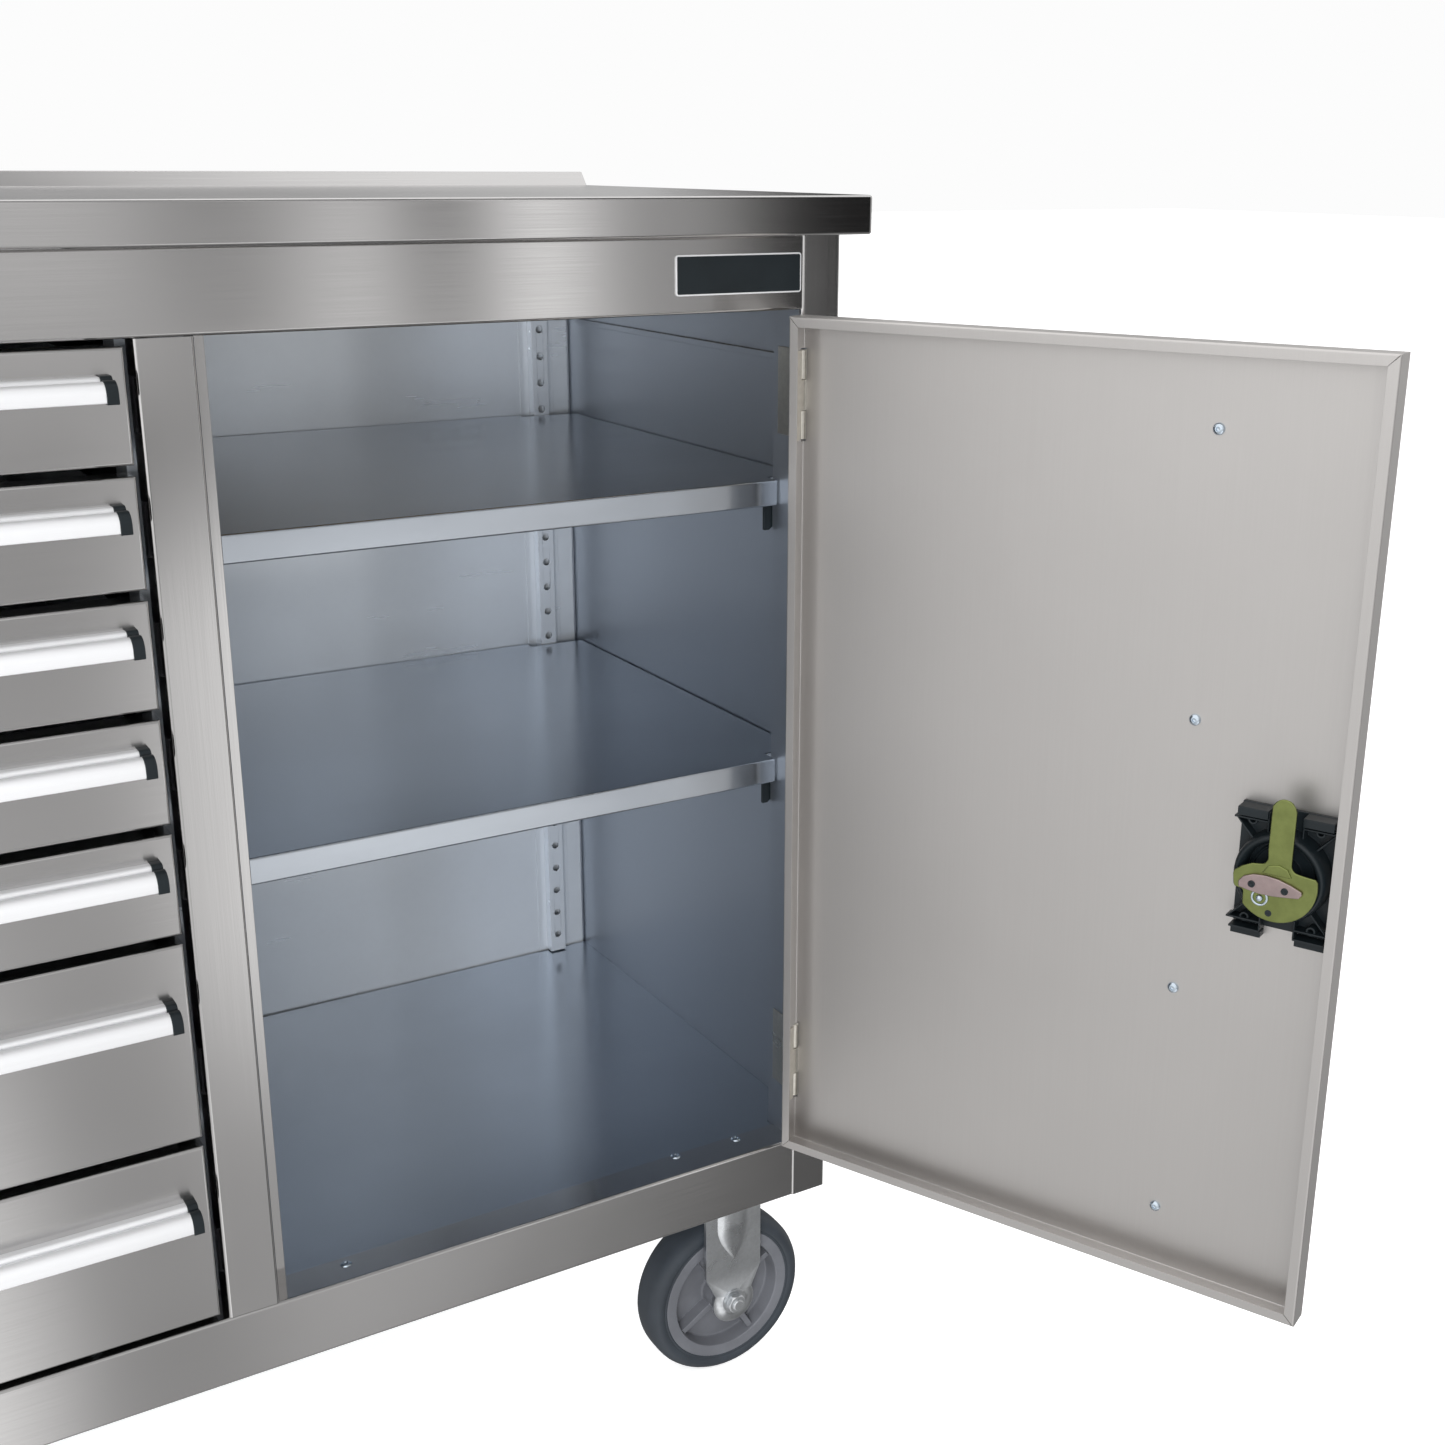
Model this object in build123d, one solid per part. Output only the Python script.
from build123d import *
import math
import os

# Rolling tool chest, millimetres.  Chest axes: X to the right with 0 at the
# middle of the body, Y to the back with 0 on the front faces of the rails and
# drawers, Z up from the floor.  Everything is built in these axes and shifted
# by ORIGIN_X and ORIGIN_Y on export, so that the origin lies on the floor under
# the middle of the whole outline with the door standing open.

# Driving dimensions
BODY_W = 1200.0
BODY_D = 453.2
SHEET = 1.2
THIN = 1.0
BEND = 1.0
JAMB_DEPTH = 38.0
FRAME_Z = 194.0
OPEN_LO = 247.0
OPEN_HI = 921.0
BODY_TOP = 973.0
WORKTOP_Z = 1000.0
WORKTOP_OVER_X = 17.0
WORKTOP_OVER_Y = 16.0
WORKTOP_BACK = 456.0
POST_W = 32.5
RAIL_RETURN = 30.0
STILE_X0 = 100.0
STILE_X1 = 136.0
STOP_Y = 21.0
STOP_X1 = 147.0
PARTITION_X = 112.0

# Drawers, top to bottom
DRAWER_HEIGHTS = [70.0, 70.0, 70.0, 70.0, 70.0, 142.5, 134.0]
DRAWER_TOP_GAP = 4.2
DRAWER_GAP = 6.4
DRAWER_SIDE_GAP = 5.6
FRONT_DEPTH = 19.0
BOX_DEPTH = 400.0
BOX_LIFT = 8.0
SMALL_BOX_H = 50.0
LARGE_BOX_H = 110.0
LARGE_FROM = 100.0
SLIDE_LEN = 398.0
SLIDE_HALF_H = 17.5
SLIDE_W = 13.2
SLIDE_MOUNT_R = 98.0
SLIDE_MOUNT_L = -565.5

# Pull handles
HANDLE_INSET = 9.5
HANDLE_DROP_SMALL = 15.5
HANDLE_DROP_LARGE = 37.5
CAP_W = 7.0

# Door, drawn closed and then swung open
DOOR_X0 = 138.5
DOOR_X1 = 565.5
DOOR_Z0 = 252.0
DOOR_Z1 = 918.0
DOOR_T = 20.0
DOOR_LIP = 7.5
MITRE_GAP = 0.5
DOOR_OPEN = 114.4
PIN_X = 567.5
PIN_Y = -1.0
PIN_R = 2.5
KNUCKLE_R = 4.5
RUNNING_FIT = 0.06
HINGE_Z = [323.0, 861.0]
HINGE_H = 64.0
HINGE_MID_H = 22.0
DOOR_HANDLE_X = 251.5
DOOR_HANDLE_Z0 = 274.0
DOOR_HANDLE_Z1 = 888.0
DOOR_SCREW_Z = [299.0, 474.0, 670.0, 863.0]

# Lock
LOCK_X = 180.5
LOCK_Z = 578.0
HOUSING_W = 65.0
HOUSING_H = 88.0
CAM_Y = 23.4
CAM_T = 2.0
CAM_R = 28.0
TONGUE_LEN = 57.0
TONGUE_W = 16.0
SPINDLE_R = 8.0

# Cupboard
SHELF_X0 = 114.4
SHELF_X1 = 597.6
SHELF_Y0 = 29.0
SHELF_Y1 = 438.0
SHELF_LIP = 19.5
SHELF_NOTCH_Y = 45.0
SHELF_FRONT_X0 = 149.0
SHELF_FRONT_X1 = 566.0
SHELF_TONGUE_X0 = 204.0
SHELF_TONGUE_X1 = 545.0
SHELF_TONGUE_Y = 449.5
SHELF_TOPS = [573.0, 794.0]
UPRIGHT_HOLE_PITCH = 24.3

# Casters
WHEEL_R = 75.0
TYRE_HALF = 18.0
RIM_R = 60.0
AXLE_R = 5.0
NUT_R = 9.0
SPOKES = 4
SPOKE_PHASE = 30.0
LEG_IN = 24.0
LEG_T = 3.5
CASTER_X_RIGID = 537.5
CASTER_X_SWIVEL = -520.0
CASTER_Y_FRONT = 72.0
CASTER_Y_REAR = 381.0
TRAIL = 35.0
PLATE_T = 4.0
PLATE_L = 105.0
PLATE_W = 80.0

# Middle of the outline, door open
ORIGIN_X = 64.0
ORIGIN_Y = 27.0

HALF_W = BODY_W / 2
OPEN_X = HALF_W - POST_W
INNER_X = HALF_W - SHEET
DOOR_AXIS = Axis((PIN_X, PIN_Y, 0), (0, 0, 1))


def block(x0, x1, y0, y1, z0, z1):
    """A box from its lower and upper limits."""
    centre = Pos((x0 + x1) / 2, (y0 + y1) / 2, (z0 + z1) / 2)
    return centre * Box(x1 - x0, y1 - y0, z1 - z0)


def rod_x(radius, x0, x1, y, z):
    return Pos((x0 + x1) / 2, y, z) * Rot(0, 90, 0) * Cylinder(radius, x1 - x0)


def rod_y(radius, y0, y1, x, z):
    return Pos(x, (y0 + y1) / 2, z) * Rot(90, 0, 0) * Cylinder(radius, y1 - y0)


def rod_z(radius, z0, z1, x, y):
    return Pos(x, y, (z0 + z1) / 2) * Cylinder(radius, z1 - z0)


def prism_x(points, x0, x1):
    """Extrude a closed (y, z) outline from x0 to x1."""
    face = make_face(Polyline(*[(x0, y, z) for y, z in points], close=True))
    return extrude(face, amount=x1 - x0, dir=(1, 0, 0))


def prism_y(points, y0, y1):
    """Extrude a closed (x, z) outline from y0 to y1."""
    face = make_face(Polyline(*[(x, y0, z) for x, z in points], close=True))
    return extrude(face, amount=y1 - y0, dir=(0, 1, 0))


def bent_face(outer, inner, radii, place):
    """Section of bent sheet between two lines of (a, b) points.  Each corner has
    its own radius on the outer line; the inner line's differs by the sheet."""
    inner_radii = [BEND if r > BEND else BEND + SHEET for r in radii]
    first = FilletPolyline(*[place(a, b) for a, b in outer], radius=radii)
    second = FilletPolyline(*[place(a, b) for a, b in inner], radius=inner_radii)
    ends = [Line(place(*outer[0]), place(*inner[0])), Line(place(*outer[-1]), place(*inner[-1]))]
    return make_face(first.edges() + second.edges() + ends)


def bent_upright(outer, inner, radii, z0, z1):
    """Sheet bent along upright lines; the points are (x, y)."""
    return extrude(bent_face(outer, inner, radii, lambda x, y: (x, y, z0)), amount=z1 - z0, dir=(0, 0, 1))


def bent_along(outer, inner, radii, x0, x1):
    """Sheet bent along lines in X; the points are (y, z)."""
    return extrude(bent_face(outer, inner, radii, lambda y, z: (x0, y, z)), amount=x1 - x0, dir=(1, 0, 0))


def edges_along(shape, axis, x=None, y=None, z=None):
    """Edges parallel to an axis whose middle lies at the given coordinates."""
    found = ShapeList()
    for edge in shape.edges().filter_by(axis):
        middle = edge.center()
        wanted = ((middle.X, x), (middle.Y, y), (middle.Z, z))
        if all(want is None or abs(got - want) < 0.05 for got, want in wanted):
            found.append(edge)
    return found


def write(name, *shapes):
    """Shift the solids of one node to the part's origin and write them."""
    solids = []
    for shape in shapes:
        solids.extend(shape.solids())
    moved = [solid.moved(Location((-ORIGIN_X, -ORIGIN_Y, 0))) for solid in solids]
    node = moved[0] if len(moved) == 1 else Compound(children=moved)
    export_step(node, f"parts/{name}.step")


def opened(shape):
    """Swing a door piece from closed to its standing-open rest position."""
    return shape.rotate(DOOR_AXIS, DOOR_OPEN)


# ---- carcass ---------------------------------------------------------------

def rounded_slab(x, y0, y1, z0, z1, corner, edge):
    """A slab with rounded upright corners, and rounded edges except along the back."""
    slab = block(-x, x, y0, y1, z0, z1)
    slab = fillet(slab.edges().filter_by(Axis.Z).sort_by(Axis.Y)[:2], corner)
    front_and_sides = ShapeList(e for e in slab.edges() if e.center().Y < y1 - 1 and e.center().Z in (z0, z1))
    return fillet(front_and_sides, edge)


def worktop():
    x = HALF_W + WORKTOP_OVER_X
    y0, y1 = -WORKTOP_OVER_Y, WORKTOP_BACK
    shell = rounded_slab(x, y0, y1, BODY_TOP, WORKTOP_Z, 3.0, BEND + SHEET)
    lip = 18.0
    foot_y, crest_y, crest_z = 437.0, 447.0, 11.5
    top = WORKTOP_Z + crest_z
    end = x - 3.0
    outer = [(foot_y, WORKTOP_Z), (crest_y, top), (y1 - 3.0, top), (y1, WORKTOP_Z), (y1, WORKTOP_Z - 5.0),
             (foot_y, WORKTOP_Z - 5.0)]
    upstand = prism_x(outer, -end, end)
    upstand = fillet(upstand.edges().filter_by(Axis.X).group_by(Axis.Z)[-1], 1.5)
    shell += upstand
    shell -= rounded_slab(x - SHEET, y0 + SHEET, y1 - SHEET, BODY_TOP + SHEET, WORKTOP_Z - SHEET, 1.8, BEND)
    shell -= block(-x + lip, x - lip, y0 + lip, y1 - lip, BODY_TOP, BODY_TOP + SHEET)
    inner = [(foot_y + 1.0, WORKTOP_Z - SHEET - 0.5), (crest_y + 0.6, top - SHEET), (y1 - 4.0, top - SHEET),
             (y1 - 1.4, WORKTOP_Z - SHEET - 0.5)]
    shell -= prism_x(inner, -end + SHEET, end - SHEET)
    return shell


def worktop_core():
    x = HALF_W + WORKTOP_OVER_X - SHEET
    y0 = -WORKTOP_OVER_Y + SHEET
    y1 = WORKTOP_BACK - SHEET
    return rounded_slab(x, y0, y1, BODY_TOP + SHEET, WORKTOP_Z - SHEET, 1.8, BEND)


def side_section(side, jamb):
    """Outer and inner (x, y) lines of a side panel: jamb, post face, side, back lap."""
    lap, back = 20.0, BODY_D + SHEET
    outer = [(OPEN_X, jamb), (OPEN_X, 0), (HALF_W, 0), (HALF_W, back), (HALF_W - lap, back)]
    inner = [(OPEN_X + SHEET, jamb), (OPEN_X + SHEET, SHEET), (INNER_X, SHEET), (INNER_X, BODY_D),
             (HALF_W - lap, BODY_D)]
    return [[(side * x, y) for x, y in line] for line in (outer, inner)]


def side_panel_right():
    lap = 20.0
    rib_z, rib_h, rib_d = 877.0, 5.0, 3.0
    outer, inner = side_section(1, JAMB_DEPTH)
    panel = bent_upright(outer, inner, [BEND + SHEET] * 3, FRAME_Z, BODY_TOP)
    panel += block(HALF_W - lap, INNER_X + 0.1, 4.0, BODY_D - SHEET - 2.0, BODY_TOP - SHEET, BODY_TOP)
    panel += block(INNER_X - rib_d, INNER_X + 0.1, JAMB_DEPTH + 2, 430, rib_z, rib_z + rib_h)
    for z in HINGE_Z:
        half = HINGE_H / 2 + 1.5
        panel -= block(OPEN_X - 1, PIN_X + KNUCKLE_R + 0.8, -1, 4.2, z - half, z + half)
    return panel


def side_panel_left():
    lap, jamb = 20.0, 22.0
    outer, inner = side_section(-1, jamb)
    panel = bent_upright(outer, inner, [BEND + SHEET] * 3, FRAME_Z, BODY_TOP)
    panel += block(-INNER_X - 0.1, -HALF_W + lap, 4.0, BODY_D - SHEET - 2.0, BODY_TOP - SHEET, BODY_TOP)
    return panel


def back_panel():
    edge = INNER_X - 2 * BEND
    return block(-edge, edge, BODY_D - SHEET, BODY_D, FRAME_Z + 2 * SHEET, BODY_TOP)


def rail(z0, z1):
    """A channel across the front, open to the back."""
    outer = [(RAIL_RETURN, z0), (0, z0), (0, z1), (RAIL_RETURN, z1)]
    inner = [(RAIL_RETURN, z0 + SHEET), (SHEET, z0 + SHEET), (SHEET, z1 - SHEET), (RAIL_RETURN, z1 - SHEET)]
    return bent_along(outer, inner, [BEND + SHEET] * 2, -OPEN_X, OPEN_X)


def top_rail():
    return rail(OPEN_HI, BODY_TOP)


def bottom_rail():
    return rail(FRAME_Z, OPEN_LO)


def centre_stile():
    stop_back = STOP_Y + SHEET
    return_y = 20.0
    outer = [(STILE_X0, return_y), (STILE_X0, 0), (STILE_X1, 0), (STILE_X1, STOP_Y), (STOP_X1, STOP_Y)]
    inner = [(STILE_X0 + SHEET, return_y), (STILE_X0 + SHEET, SHEET), (STILE_X1 - SHEET, SHEET),
             (STILE_X1 - SHEET, stop_back), (STOP_X1, stop_back)]
    return bent_upright(outer, inner, [BEND + SHEET, BEND + SHEET, BEND], OPEN_LO, OPEN_HI)


def partition():
    front_y = 18.8
    x0, x1 = PARTITION_X, PARTITION_X + SHEET
    panel = block(x0, x1, front_y, BODY_D - SHEET, OPEN_LO, BODY_TOP)
    panel -= block(x0 - 1, x1 + 1, 0, RAIL_RETURN, OPEN_HI - 0.01, BODY_TOP + 1)
    panel += block(x0, x1, RAIL_RETURN, BODY_D - SHEET, FRAME_Z + 2 * SHEET, OPEN_LO)
    panel += block(STILE_X0 + SHEET, x1, front_y, front_y + SHEET, OPEN_LO, OPEN_HI)
    return panel


def base_frame():
    z0 = FRAME_Z + SHEET
    clear_y = 3 * SHEET
    pan = block(-INNER_X, INNER_X, clear_y, BODY_D - SHEET, z0, z0 + SHEET)
    pan += block(-OPEN_X, OPEN_X, BODY_D - 2 * SHEET, BODY_D - SHEET, FRAME_Z, z0)
    pan += block(-INNER_X, INNER_X, RAIL_RETURN, BODY_D - SHEET, FRAME_Z, z0)
    for side in (-1, 1):
        near, far = sorted((side * (OPEN_X - 0.5), side * HALF_W))
        pan -= block(near, far, 0, JAMB_DEPTH + 1.0, FRAME_Z - 1, z0 + 2 * SHEET)
    channels = []
    channel_h, channel_w, wall = 30.0, 90.0, 2.0
    for x in (CASTER_X_SWIVEL, -180.0, CASTER_X_RIGID - 15.0):
        top = z0 + SHEET
        half = channel_w / 2
        channel = block(x - half, x + half, 42, 446, top, top + channel_h)
        channel = fillet(channel.edges().filter_by(Axis.Y).group_by(Axis.Z)[-1], BEND + wall)
        inner = block(x - half + wall, x + half - wall, 40, 450, top, top + channel_h - wall)
        inner = fillet(inner.edges().filter_by(Axis.Y).group_by(Axis.Z)[-1], BEND)
        channels.append(channel - inner)
    return pan, *channels


def cupboard_floor():
    z1 = OPEN_LO - SHEET
    x0 = PARTITION_X + SHEET
    hem = 14.0
    floor = block(x0, INNER_X, 3 * SHEET, BODY_D - SHEET - 2.5, z1 - SHEET, z1)
    floor -= block(OPEN_X - 0.5, INNER_X + 1, 0, JAMB_DEPTH + 0.5, z1 - 2 * SHEET, z1 + 1)
    floor += block(x0, x0 + SHEET, RAIL_RETURN + 2, BODY_D - SHEET - 2.5, z1 - hem, z1)
    floor += block(INNER_X - SHEET, INNER_X, JAMB_DEPTH + 2, BODY_D - SHEET - 2.5, z1 - hem, z1)
    return floor


def shelf(top):
    z0 = top - THIN
    lip_z = top - SHELF_LIP
    y0, hem = SHELF_Y0, 9.0
    front = block(SHELF_FRONT_X0, SHELF_FRONT_X1, y0, y0 + hem, lip_z, top)
    front = fillet(edges_along(front, Axis.X, y=y0), 1.6)
    hollow = block(SHELF_FRONT_X0, SHELF_FRONT_X1, y0 + THIN, y0 + hem, lip_z + THIN, top - THIN)
    front -= fillet(edges_along(hollow, Axis.X, y=y0 + THIN), 0.6)
    plate = block(SHELF_X0, SHELF_X1, SHELF_NOTCH_Y, SHELF_Y1, z0, top)
    plate += block(SHELF_FRONT_X0, SHELF_FRONT_X1, y0 + hem, SHELF_NOTCH_Y, z0, top) + front
    plate += block(SHELF_X0, SHELF_X1, SHELF_Y1 - THIN, SHELF_Y1, lip_z, top)
    plate += block(SHELF_TONGUE_X0, SHELF_TONGUE_X1, SHELF_Y1 - THIN, SHELF_TONGUE_Y, z0, top)
    for x in (SHELF_X0, SHELF_X1 - THIN):
        plate += block(x, x + THIN, SHELF_NOTCH_Y + 14, SHELF_Y1, lip_z, top)
    return plate


def shelf_uprights():
    """Four perforated hat channels, two on the back and two at the front."""
    z0, z1 = OPEN_LO, BODY_TOP - 20.0
    hat_w, flange, depth = 16.0, 9.0, 11.0
    back = BODY_D - SHEET
    posts = []
    for x in (185.0, 564.0):
        post = block(x - hat_w / 2, x + hat_w / 2, back - depth, back, z0, z1)
        post -= block(x - hat_w / 2 + SHEET, x + hat_w / 2 - SHEET, back - depth + SHEET, back, z0, z1)
        for side in (-1, 1):
            edge = x + side * hat_w / 2
            outer = edge + side * flange
            post += block(min(edge, outer), max(edge, outer), back - SHEET, back, z0, z1)
        z = z0 + 18.0
        while z < z1 - 12:
            post -= rod_y(3.4, back - depth - 1, back - depth + 2, x, z)
            z += UPRIGHT_HOLE_PITCH
        posts.append(post)
    front_y = 52.0
    for wall, side in ((PARTITION_X + SHEET, 1), (INNER_X, -1)):
        tip = wall + side * 1.0
        posts.append(block(min(wall, tip), max(wall, tip), front_y - 9, front_y + 9, z0, OPEN_HI - 50))
    return posts


def shelf_clips():
    clips = []
    for top in SHELF_TOPS:
        under = top - SHELF_LIP - 0.1
        deep = 20.0
        right = [(567.5, under), (589.0, under), (589.0, under - 6), (572.0, under - deep), (567.5, under - deep)]
        for y in (46.0, 424.0):
            left, right_wall = PARTITION_X + SHEET + 1.0, INNER_X - 1.0
            clips.append(block(right_wall - 12, right_wall, y, y + 10, under - 14, under))
            clips.append(block(left, left + 12, y, y + 10, under - 14, under))
        clips.append(prism_y([(x - 6.5, z) for x, z in right], 39.0, 41.5))
    return clips


# ---- drawers ---------------------------------------------------------------

def drawer_levels():
    """Lower and upper edge of each drawer front, top drawer first."""
    levels = []
    top = OPEN_HI - DRAWER_TOP_GAP
    for height in DRAWER_HEIGHTS:
        levels.append((top - height, top))
        top -= height + DRAWER_GAP
    return levels


DRAWER_X0 = -OPEN_X + DRAWER_SIDE_GAP
DRAWER_X1 = STILE_X0 - DRAWER_SIDE_GAP
BOX_X0 = SLIDE_MOUNT_L + SLIDE_W
BOX_X1 = SLIDE_MOUNT_R - SLIDE_W


def box_height(z0, z1):
    return LARGE_BOX_H if z1 - z0 > LARGE_FROM else SMALL_BOX_H


def slide_centre(z0, z1):
    return z0 + BOX_LIFT + (30.0 if z1 - z0 > LARGE_FROM else 25.0)


def pan_front(x0, x1, y0, y1, z0, z1, bend):
    """A block whose four front edges are rounded like bent sheet."""
    solid = block(x0, x1, y0, y1, z0, z1)
    return fillet(solid.faces().sort_by(Axis.Y)[0].edges(), bend)


def drawer_front(z0, z1):
    front = pan_front(DRAWER_X0, DRAWER_X1, 0, FRONT_DEPTH, z0, z1, BEND + THIN)
    hollow = pan_front(DRAWER_X0 + THIN, DRAWER_X1 - THIN, THIN, FRONT_DEPTH, z0 + THIN, z1 - THIN, BEND)
    return front - hollow


def drawer_box(z0, z1):
    base = z0 + BOX_LIFT
    top = base + box_height(z0, z1)
    y0, y1 = FRONT_DEPTH, FRONT_DEPTH + BOX_DEPTH
    tray = block(BOX_X0, BOX_X1, y0, y1, base, top)
    tray -= block(BOX_X0 + THIN, BOX_X1 - THIN, y0 + THIN, y1 - THIN, base + THIN, top)
    centre = slide_centre(z0, z1)
    runners = [slide_member("inner", SLIDE_MOUNT_R, -1, centre), slide_member("inner", SLIDE_MOUNT_L, 1, centre)]
    ties = []
    for x in (BOX_X0 + 60, (BOX_X0 + BOX_X1) / 2, BOX_X1 - 60):
        ties.append(block(x - 20, x + 20, THIN, FRONT_DEPTH, base + 6, base + 8))
    return [tray] + runners + ties


# Each slide member is a channel: web position and reach from the mounting face
# towards the drawer, and half height.
SLIDE_MEMBERS = {
    "outer": (0.0, 1.2, 9.0, SLIDE_HALF_H),
    "middle": (4.6, 5.8, 11.4, SLIDE_HALF_H - 1.8),
    "inner": (12.0, 13.2, 7.4, SLIDE_HALF_H - 3.6),
}


def slide_member(kind, mount_x, side, centre):
    """One channel of a drawer slide; side is the direction of the drawer."""
    near, far, reach, half = SLIDE_MEMBERS[kind]
    y0 = FRONT_DEPTH + 1.5
    y1 = y0 + SLIDE_LEN
    x_near, x_far = mount_x + side * near, mount_x + side * far
    member = block(min(x_near, x_far), max(x_near, x_far), y0, y1, centre - half, centre + half)
    x_tip = mount_x + side * reach
    x_lo = min(x_near, x_far, x_tip)
    x_hi = max(x_near, x_far, x_tip)
    for z in (centre - half, centre + half - 1.2):
        member += block(x_lo, x_hi, y0, y1, z, z + 1.2)
    return member


def slide_pair(kind, z0, z1):
    centre = slide_centre(z0, z1)
    return slide_member(kind, SLIDE_MOUNT_R, -1, centre), slide_member(kind, SLIDE_MOUNT_L, 1, centre)


def slide_uprights():
    """Channels that carry the fixed slide members, web towards the drawers."""
    posts = []
    z0, z1 = FRAME_Z + 2 * SHEET, BODY_TOP - 22.0
    for y in (40.0, 385.0):
        for web, wall in ((SLIDE_MOUNT_R, PARTITION_X), (SLIDE_MOUNT_L, -INNER_X)):
            x0, x1 = min(web, wall), max(web, wall)
            post = block(x0, x1, y, y + 30, z0, z1)
            if web > wall:
                post -= block(x0 - 1, x1 - SHEET, y + SHEET, y + 30 - SHEET, z0, z1)
            else:
                post -= block(x0 + SHEET, x1 + 1, y + SHEET, y + 30 - SHEET, z0, z1)
            posts.append(post)
    return posts


# ---- handles ---------------------------------------------------------------

# Pull profile as (out from the face, down from the top edge): a flange on the
# face, a small upper ridge and a larger lower roll with room for fingers behind.
def pull_points():
    points = [(0.0, 0.0), (5.5, 0.0)]
    for step in range(1, 4):
        a = math.radians(30 * step)
        points.append((5.5 + 3.5 * math.sin(a), 3.5 - 3.5 * math.cos(a)))
    points.append((9.6, 5.0))
    for step in range(0, 5):
        a = math.radians(22.5 * step)
        points.append((14.0 + 7.0 * math.sin(a), 12.0 - 7.0 * math.cos(a)))
    points += [(21.0, 15.5), (18.8, 15.5), (18.6, 12.0)]
    for step in range(3, -1, -1):
        a = math.radians(22.5 * step)
        points.append((14.0 + 4.6 * math.sin(a), 12.0 - 4.6 * math.cos(a)))
    points += [(2.0, 7.4), (2.0, 15.5), (0.0, 15.5)]
    return points


def cap_points():
    points = [(0.0, -0.6), (5.8, -0.6)]
    for step in range(1, 4):
        a = math.radians(30 * step)
        points.append((5.8 + 4.0 * math.sin(a), 3.4 - 4.0 * math.cos(a)))
    points.append((13.6, 4.2))
    for step in range(1, 5):
        a = math.radians(22.5 * step)
        points.append((14.0 + 7.6 * math.sin(a), 11.8 - 7.6 * math.cos(a)))
    points += [(21.6, 16.2), (0.0, 16.2)]
    return points


def drawer_handle(z1, large):
    top = z1 - (HANDLE_DROP_LARGE if large else HANDLE_DROP_SMALL)
    x0, x1 = DRAWER_X0 + HANDLE_INSET, DRAWER_X1 - HANDLE_INSET
    bar = prism_x([(-out, top - down) for out, down in pull_points()], x0 + CAP_W, x1 - CAP_W)
    cap = [(-out, top - down) for out, down in cap_points()]
    return bar, prism_x(cap, x0, x0 + CAP_W), prism_x(cap, x1 - CAP_W, x1)


def door_handle():
    """The same pull standing upright, its fingers' side towards the hinge."""
    def upright(points, z0, z1):
        ring = [(DOOR_HANDLE_X - 8 + down, -out, z0) for out, down in points]
        return extrude(make_face(Polyline(*ring, close=True)), amount=z1 - z0, dir=(0, 0, 1))
    z0, z1 = DOOR_HANDLE_Z0, DOOR_HANDLE_Z1
    solids = [upright(pull_points(), z0 + CAP_W, z1 - CAP_W)]
    solids += [upright(cap_points(), z0, z0 + CAP_W), upright(cap_points(), z1 - CAP_W, z1)]
    for z in DOOR_SCREW_Z:
        solids.append(rod_y(4.0, THIN, THIN + 2.2, DOOR_HANDLE_X, z))
    return [opened(solid) for solid in solids]


# ---- door ------------------------------------------------------------------

def door_pan():
    x0, x1, z0, z1 = DOOR_X0, DOOR_X1, DOOR_Z0, DOOR_Z1
    pan = pan_front(x0, x1, 0, DOOR_T, z0, z1, BEND + THIN)
    pan = fillet(pan.faces().sort_by(Axis.Y)[-1].edges(), 1.4)
    pan -= pan_front(x0 + THIN, x1 - THIN, THIN, DOOR_T - THIN, z0 + THIN, z1 - THIN, BEND)
    lip = DOOR_LIP
    pan -= block(x0 + lip, x1 - lip, DOOR_T - 2 * THIN, DOOR_T + 1, z0 + lip, z1 - lip)
    for x, slope in ((x0, 1), (x1, -1)):
        for z, rise in ((z0, 1), (z1, -1)):
            seam = Rot(0, -45 * slope * rise, 0) * Box(lip * 2.6, 2.0, MITRE_GAP)
            pan -= Pos(x + slope * lip * 0.6, DOOR_T, z + rise * lip * 0.6) * seam
    for z in HINGE_Z:
        half = HINGE_H / 2 + 1.5
        pan -= block(x1 - 3.2, x1 + 1, -1, 5.5, z - half, z + half)
    neck_x, neck_z = HOUSING_W / 2 - 5, HOUSING_H / 2 - 6
    pan -= block(LOCK_X - neck_x, LOCK_X + neck_x, -1, THIN + 0.5, LOCK_Z - neck_z, LOCK_Z + neck_z)
    return opened(pan)


def knuckle(z0, z1, bore):
    return rod_z(KNUCKLE_R, z0, z1, PIN_X, PIN_Y) - rod_z(bore, z0 - 1, z1 + 1, PIN_X, PIN_Y)


def hinge_frame_leaves():
    solids = []
    for z in HINGE_Z:
        z0, z1 = z - HINGE_H / 2, z + HINGE_H / 2
        mid0, mid1 = z - HINGE_MID_H / 2 - 0.4, z + HINGE_MID_H / 2 + 0.4
        leaf = block(OPEN_X - 1.1, OPEN_X, 2.0, 30.0, z0, z1)
        leaf -= block(OPEN_X - 3, OPEN_X + 1, 0, 4.6, mid0, mid1)
        leaf -= rod_z(PIN_R, z0 - 1, z1 + 1, PIN_X, PIN_Y)
        solids.append(leaf + knuckle(z0, mid0, PIN_R) + knuckle(mid1, z1, PIN_R))
        solids.append(rod_z(PIN_R, z0, z1, PIN_X, PIN_Y))
    return solids


def hinge_door_leaves():
    solids = []
    x1 = DOOR_X1 - THIN
    for z in HINGE_Z:
        mid0, mid1 = z - HINGE_MID_H / 2, z + HINGE_MID_H / 2
        z0, z1 = z - HINGE_H / 2, z + HINGE_H / 2
        leaf = block(x1 - 1.2, x1, 5.6, 17.5, z0, z1)
        leaf += block(x1 - 1.2, x1, PIN_Y, 5.6, mid0, mid1)
        solids.append(opened(leaf + knuckle(mid0, mid1, PIN_R + RUNNING_FIT)))
    return solids


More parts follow.
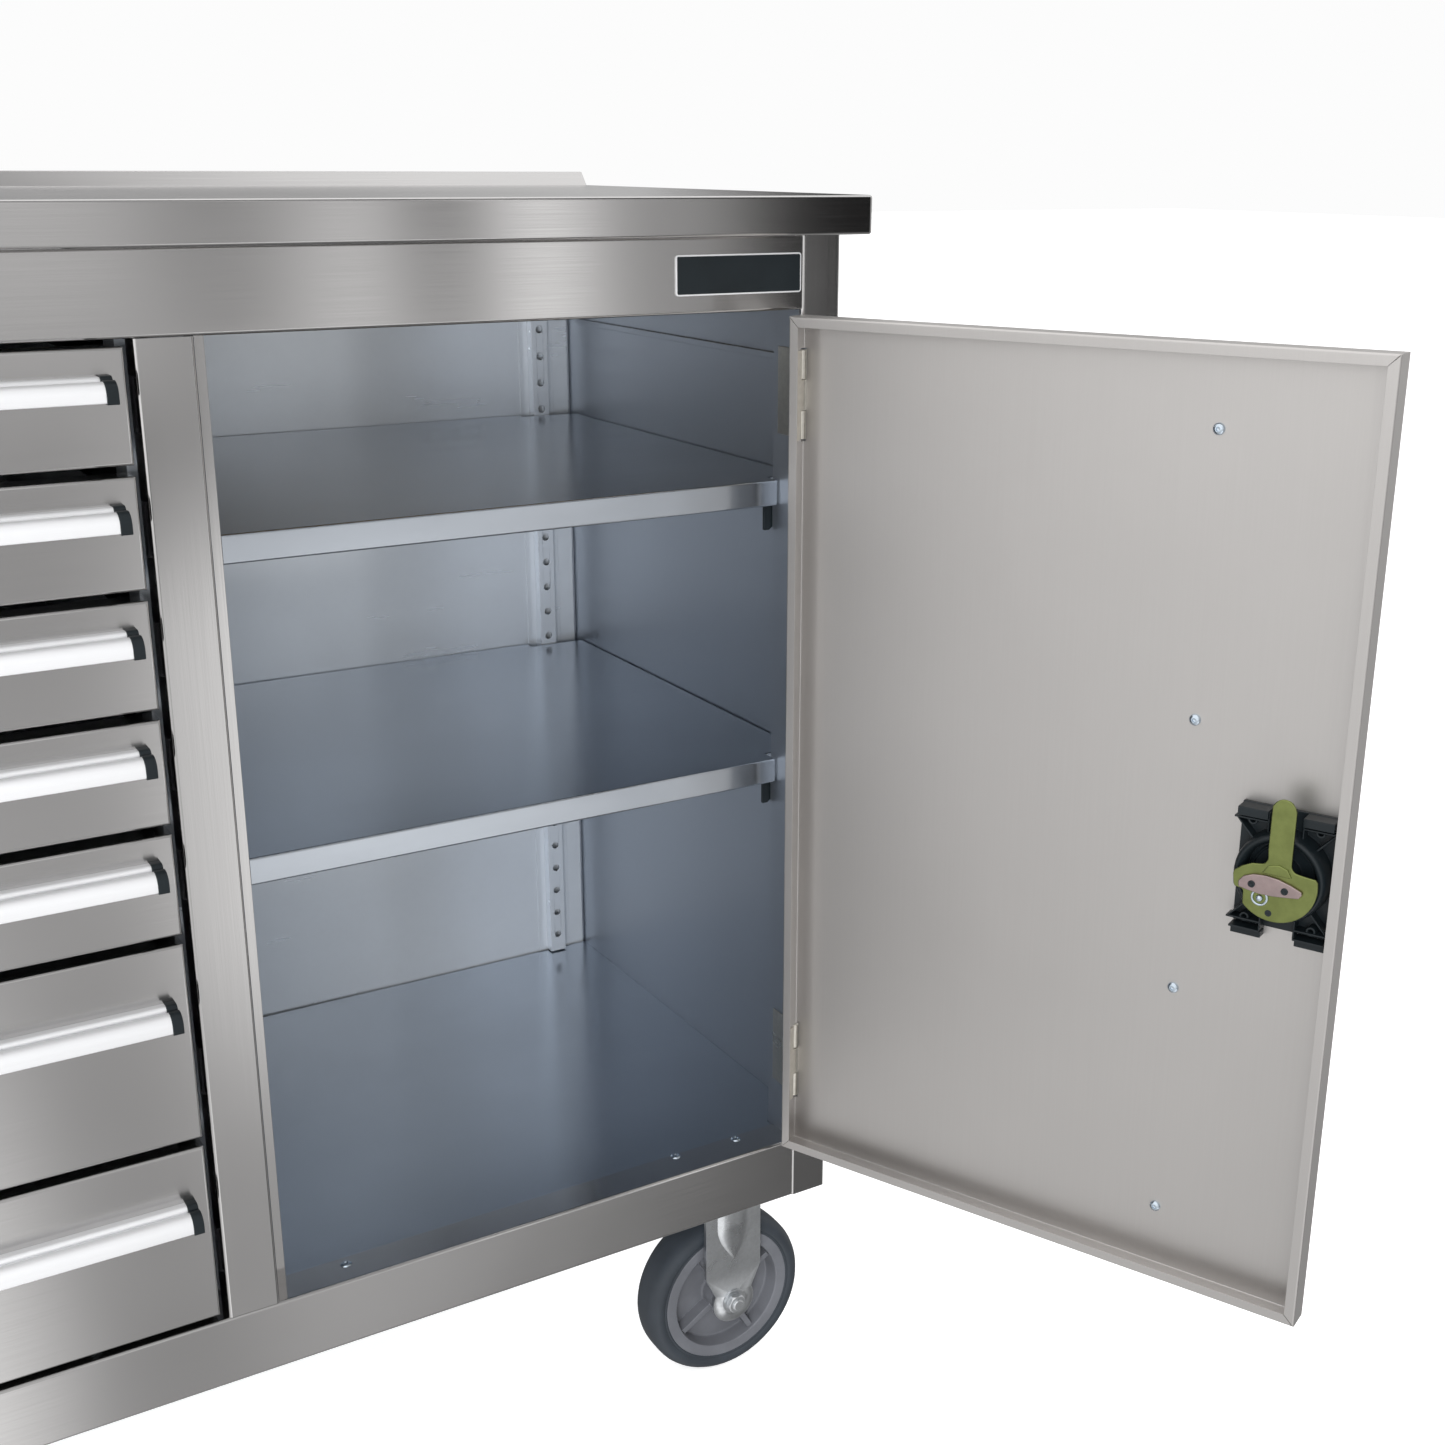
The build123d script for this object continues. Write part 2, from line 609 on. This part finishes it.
def lock_housing():
    half_w, half_h = HOUSING_W / 2, HOUSING_H / 2
    neck_w, neck_h = half_w - 5.5, half_h - 6.5
    plate = block(LOCK_X - half_w, LOCK_X + half_w, THIN, 4.0, LOCK_Z - half_h, LOCK_Z + half_h)
    plate += block(LOCK_X - neck_w, LOCK_X + neck_w, -1, THIN, LOCK_Z - neck_h, LOCK_Z + neck_h)
    plate += block(LOCK_X - half_w, LOCK_X + half_w, -4.0, 0, LOCK_Z - half_h, LOCK_Z + half_h)
    plate += rod_y(30.5, 4.0, 20.0, LOCK_X, LOCK_Z)
    plate -= rod_y(27.0, -5.0, -1.5, LOCK_X, LOCK_Z)
    plate -= rod_y(SPINDLE_R + RUNNING_FIT, -6, 30, LOCK_X, LOCK_Z)
    for end in (-1, 1):
        z = LOCK_Z + end * (half_h - 5.5)
        for side in (-1, 1):
            x = LOCK_X + side * 21.0
            plate += block(x - 10, x + 10, 4.0, 16.0, z - 5, z + 5)
    return opened(plate)


def lock_knob():
    knob = rod_y(25.5, -8.0, -2.0, LOCK_X, LOCK_Z)
    knob += block(LOCK_X - 5.5, LOCK_X + 5.5, -18.0, -8.0, LOCK_Z - 22, LOCK_Z + 22)
    knob += rod_y(SPINDLE_R, -2.0, CAM_Y, LOCK_X, LOCK_Z)
    return opened(knob)


def lock_cam():
    y0, y1 = CAM_Y, CAM_Y + CAM_T
    disc = rod_y(CAM_R, y0, y1, LOCK_X, LOCK_Z)
    disc -= block(LOCK_X - 40, LOCK_X + 40, y0 - 1, y1 + 1, LOCK_Z + 11, LOCK_Z + 40)
    half = TONGUE_W / 2
    disc += block(LOCK_X - half, LOCK_X + half, y0, y1, LOCK_Z, LOCK_Z + TONGUE_LEN - half)
    disc += rod_y(half, y0, y1, LOCK_X, LOCK_Z + TONGUE_LEN - half)
    retainer = block(LOCK_X - 21, LOCK_X + 21, y1, y1 + 1.6, LOCK_Z - 5, LOCK_Z + 6)
    screws = [rod_y(3.0, y1 + 1.6, y1 + 2.4, LOCK_X + dx, LOCK_Z) for dx in (-10, 10)]
    return [opened(solid) for solid in [disc, retainer] + screws]


# ---- casters ---------------------------------------------------------------

def wheel(x, y):
    tyre = rod_y(WHEEL_R, y - TYRE_HALF, y + TYRE_HALF, x, WHEEL_R)
    tyre = fillet(tyre.edges().filter_by(GeomType.CIRCLE), 7.0)
    tyre -= rod_y(RIM_R, y - TYRE_HALF - 1, y + TYRE_HALF + 1, x, WHEEL_R)
    rim = rod_y(RIM_R, y - 16, y + 16, x, WHEEL_R) - rod_y(50.0, y - 17, y + 17, x, WHEEL_R)
    rim += rod_y(50.0, y - 3, y + 3, x, WHEEL_R)
    rim += rod_y(17.0, y - 22, y + 22, x, WHEEL_R)
    for spoke in range(SPOKES):
        rib = block(x - 4, x + 4, y - 12, y + 12, WHEEL_R + 14, WHEEL_R + 51)
        rim += rib.rotate(Axis((x, y, WHEEL_R), (0, 1, 0)), SPOKE_PHASE + 360 / SPOKES * spoke)
    rim -= rod_y(AXLE_R + RUNNING_FIT, y - 23, y + 23, x, WHEEL_R)
    return tyre, rim


def hex_nut(x, y, outward, thickness):
    """A nut with rounded-off corners, lying against the plane at y."""
    disc = Cylinder(NUT_R * 0.98, thickness)
    disc = chamfer(disc.edges().filter_by(GeomType.CIRCLE), 1.3)
    nut = extrude(RegularPolygon(NUT_R, 6), amount=thickness / 2, both=True) & disc
    return Pos(x, y + outward * thickness / 2, WHEEL_R) * Rot(90, 0, 0) * nut


def axle(x, y):
    """A bolt through both legs with a washer and nut on each side."""
    reach = LEG_IN + LEG_T
    washer, nut, stud = 1.6, 6.0, 2.0
    end = reach + washer + nut + stud
    bolt = rod_y(AXLE_R, y - end, y + end, x, WHEEL_R)
    bolt = chamfer(bolt.edges().filter_by(GeomType.CIRCLE), 0.8)
    for side in (-1, 1):
        near, far = sorted((y + side * reach, y + side * (reach + washer)))
        bolt += rod_y(11.0, near, far, x, WHEEL_R)
        bolt += hex_nut(x, y + side * (reach + washer), side, nut)
    return bolt


def fork_leg(x, y, side, outline, axle_x):
    y0 = y + side * LEG_IN
    y1 = y + side * (LEG_IN + LEG_T)
    lo, hi = min(y0, y1), max(y0, y1)
    leg = prism_y([(x + dx, z) for dx, z in outline], lo, hi)
    return leg + rod_y(20.0, lo, hi, axle_x, WHEEL_R)


def rigid_fork(x, y):
    outline = [(-27, FRAME_Z - PLATE_T), (27, FRAME_Z - PLATE_T), (27, 104), (18, 84), (-18, 84), (-27, 104)]
    fork = block(x - PLATE_L / 2, x + PLATE_L / 2, y - PLATE_W / 2, y + PLATE_W / 2, FRAME_Z - PLATE_T, FRAME_Z)
    for side in (-1, 1):
        fork += fork_leg(x, y, side, outline, x)
    fork -= rod_y(AXLE_R, y - 40, y + 40, x, WHEEL_R)
    return fork, axle(x, y)


KING_R = 6.0
CROWN_Z = 172.0
BRAKE_DX = 62.0
BRAKE_Z = 158.0


def swivel_plate(x, y):
    plate = block(x - PLATE_L / 2, x + PLATE_L / 2, y - PLATE_W / 2, y + PLATE_W / 2, FRAME_Z - PLATE_T, FRAME_Z)
    plate += rod_z(28.0, CROWN_Z + 7, FRAME_Z - PLATE_T, x, y)
    plate += rod_z(KING_R, CROWN_Z - 4, FRAME_Z - PLATE_T, x, y)
    plate += rod_z(10.0, CROWN_Z - 10, CROWN_Z - 4, x, y)
    return plate


def swivel_fork(x, y):
    outline = [(-26, CROWN_Z), (46, CROWN_Z), (72, 166), (72, 150), (TRAIL + 19, 80), (TRAIL - 18, 84), (-26, 160)]
    crown_y = LEG_IN + LEG_T
    fork = block(x - 26, x + 46, y - crown_y, y + crown_y, CROWN_Z, CROWN_Z + 4)
    fork += rod_z(31.0, CROWN_Z, CROWN_Z + 6, x, y)
    for side in (-1, 1):
        fork += fork_leg(x, y, side, outline, x + TRAIL)
    fork -= rod_y(AXLE_R, y - 40, y + 40, x + TRAIL, WHEEL_R)
    fork -= rod_z(KING_R + RUNNING_FIT, CROWN_Z - 3, CROWN_Z + 8, x, y)
    fork += rod_y(3.0, y - LEG_IN, y + LEG_IN, x + BRAKE_DX, BRAKE_Z)
    return fork, axle(x + TRAIL, y)


def brake_pedal(x, y):
    px = x + BRAKE_DX
    pedal = rod_y(6.0, y - 22, y + 22, px, BRAKE_Z)
    arm = [(px, BRAKE_Z - 2), (px + 10, BRAKE_Z + 1), (px + 58, BRAKE_Z - 14), (px + 58, BRAKE_Z - 10),
           (px + 10, BRAKE_Z + 5.5), (px, BRAKE_Z + 5.5)]
    pedal += prism_y(arm, y - 22, y + 22)
    pedal += block(px - 8, px + 4, y - 10, y + 10, BRAKE_Z - 7.2, BRAKE_Z)
    pedal -= rod_y(3.0 + RUNNING_FIT, y - 25, y + 25, px, BRAKE_Z)
    return pedal


# ---- write every node ------------------------------------------------------

def write_carcass():
    write("worktop", worktop())
    write("worktop_core", worktop_core())
    write("side_panel_right", side_panel_right())
    write("side_panel_left", side_panel_left())
    write("back_panel", back_panel())
    write("top_rail", top_rail())
    write("bottom_rail", bottom_rail())
    write("centre_stile", centre_stile())
    write("partition", partition())
    write("base_frame", *base_frame())
    write("cupboard_floor", cupboard_floor())
    write("shelves", *[shelf(top) for top in SHELF_TOPS])
    write("shelf_clips", *shelf_clips())
    write("uprights", *shelf_uprights(), *slide_uprights())


def write_drawers():
    fixed = []
    for number, (z0, z1) in enumerate(drawer_levels(), start=1):
        write(f"drawer_{number}_front", drawer_front(z0, z1))
        write(f"drawer_{number}_box", *drawer_box(z0, z1))
        write(f"drawer_{number}_handle", *drawer_handle(z1, z1 - z0 > LARGE_FROM))
        write(f"drawer_{number}_slide_middle", *slide_pair("middle", z0, z1))
        fixed.extend(slide_pair("outer", z0, z1))
    write("slide_outer_members", *fixed)


def write_door():
    write("door_pan", door_pan())
    write("door_handle", *door_handle())
    write("hinge_frame_leaves", *hinge_frame_leaves())
    write("hinge_door_leaves", *hinge_door_leaves())
    write("lock_housing", lock_housing())
    write("lock_knob", lock_knob())
    write("lock_cam", *lock_cam())


def write_casters():
    forks, plates = [], []
    for name, y in (("front", CASTER_Y_FRONT), ("rear", CASTER_Y_REAR)):
        forks.extend(rigid_fork(CASTER_X_RIGID, y))
        plates.append(swivel_plate(CASTER_X_SWIVEL, y))
        write(f"wheel_{name}_right", *wheel(CASTER_X_RIGID, y))
        write(f"wheel_{name}_left", *wheel(CASTER_X_SWIVEL + TRAIL, y))
        write(f"swivel_fork_{name}", *swivel_fork(CASTER_X_SWIVEL, y))
        write(f"brake_pedal_{name}", brake_pedal(CASTER_X_SWIVEL, y))
    write("rigid_forks", *forks)
    write("swivel_plates", *plates)


os.makedirs("parts", exist_ok=True)
write_carcass()
write_drawers()
write_door()
write_casters()
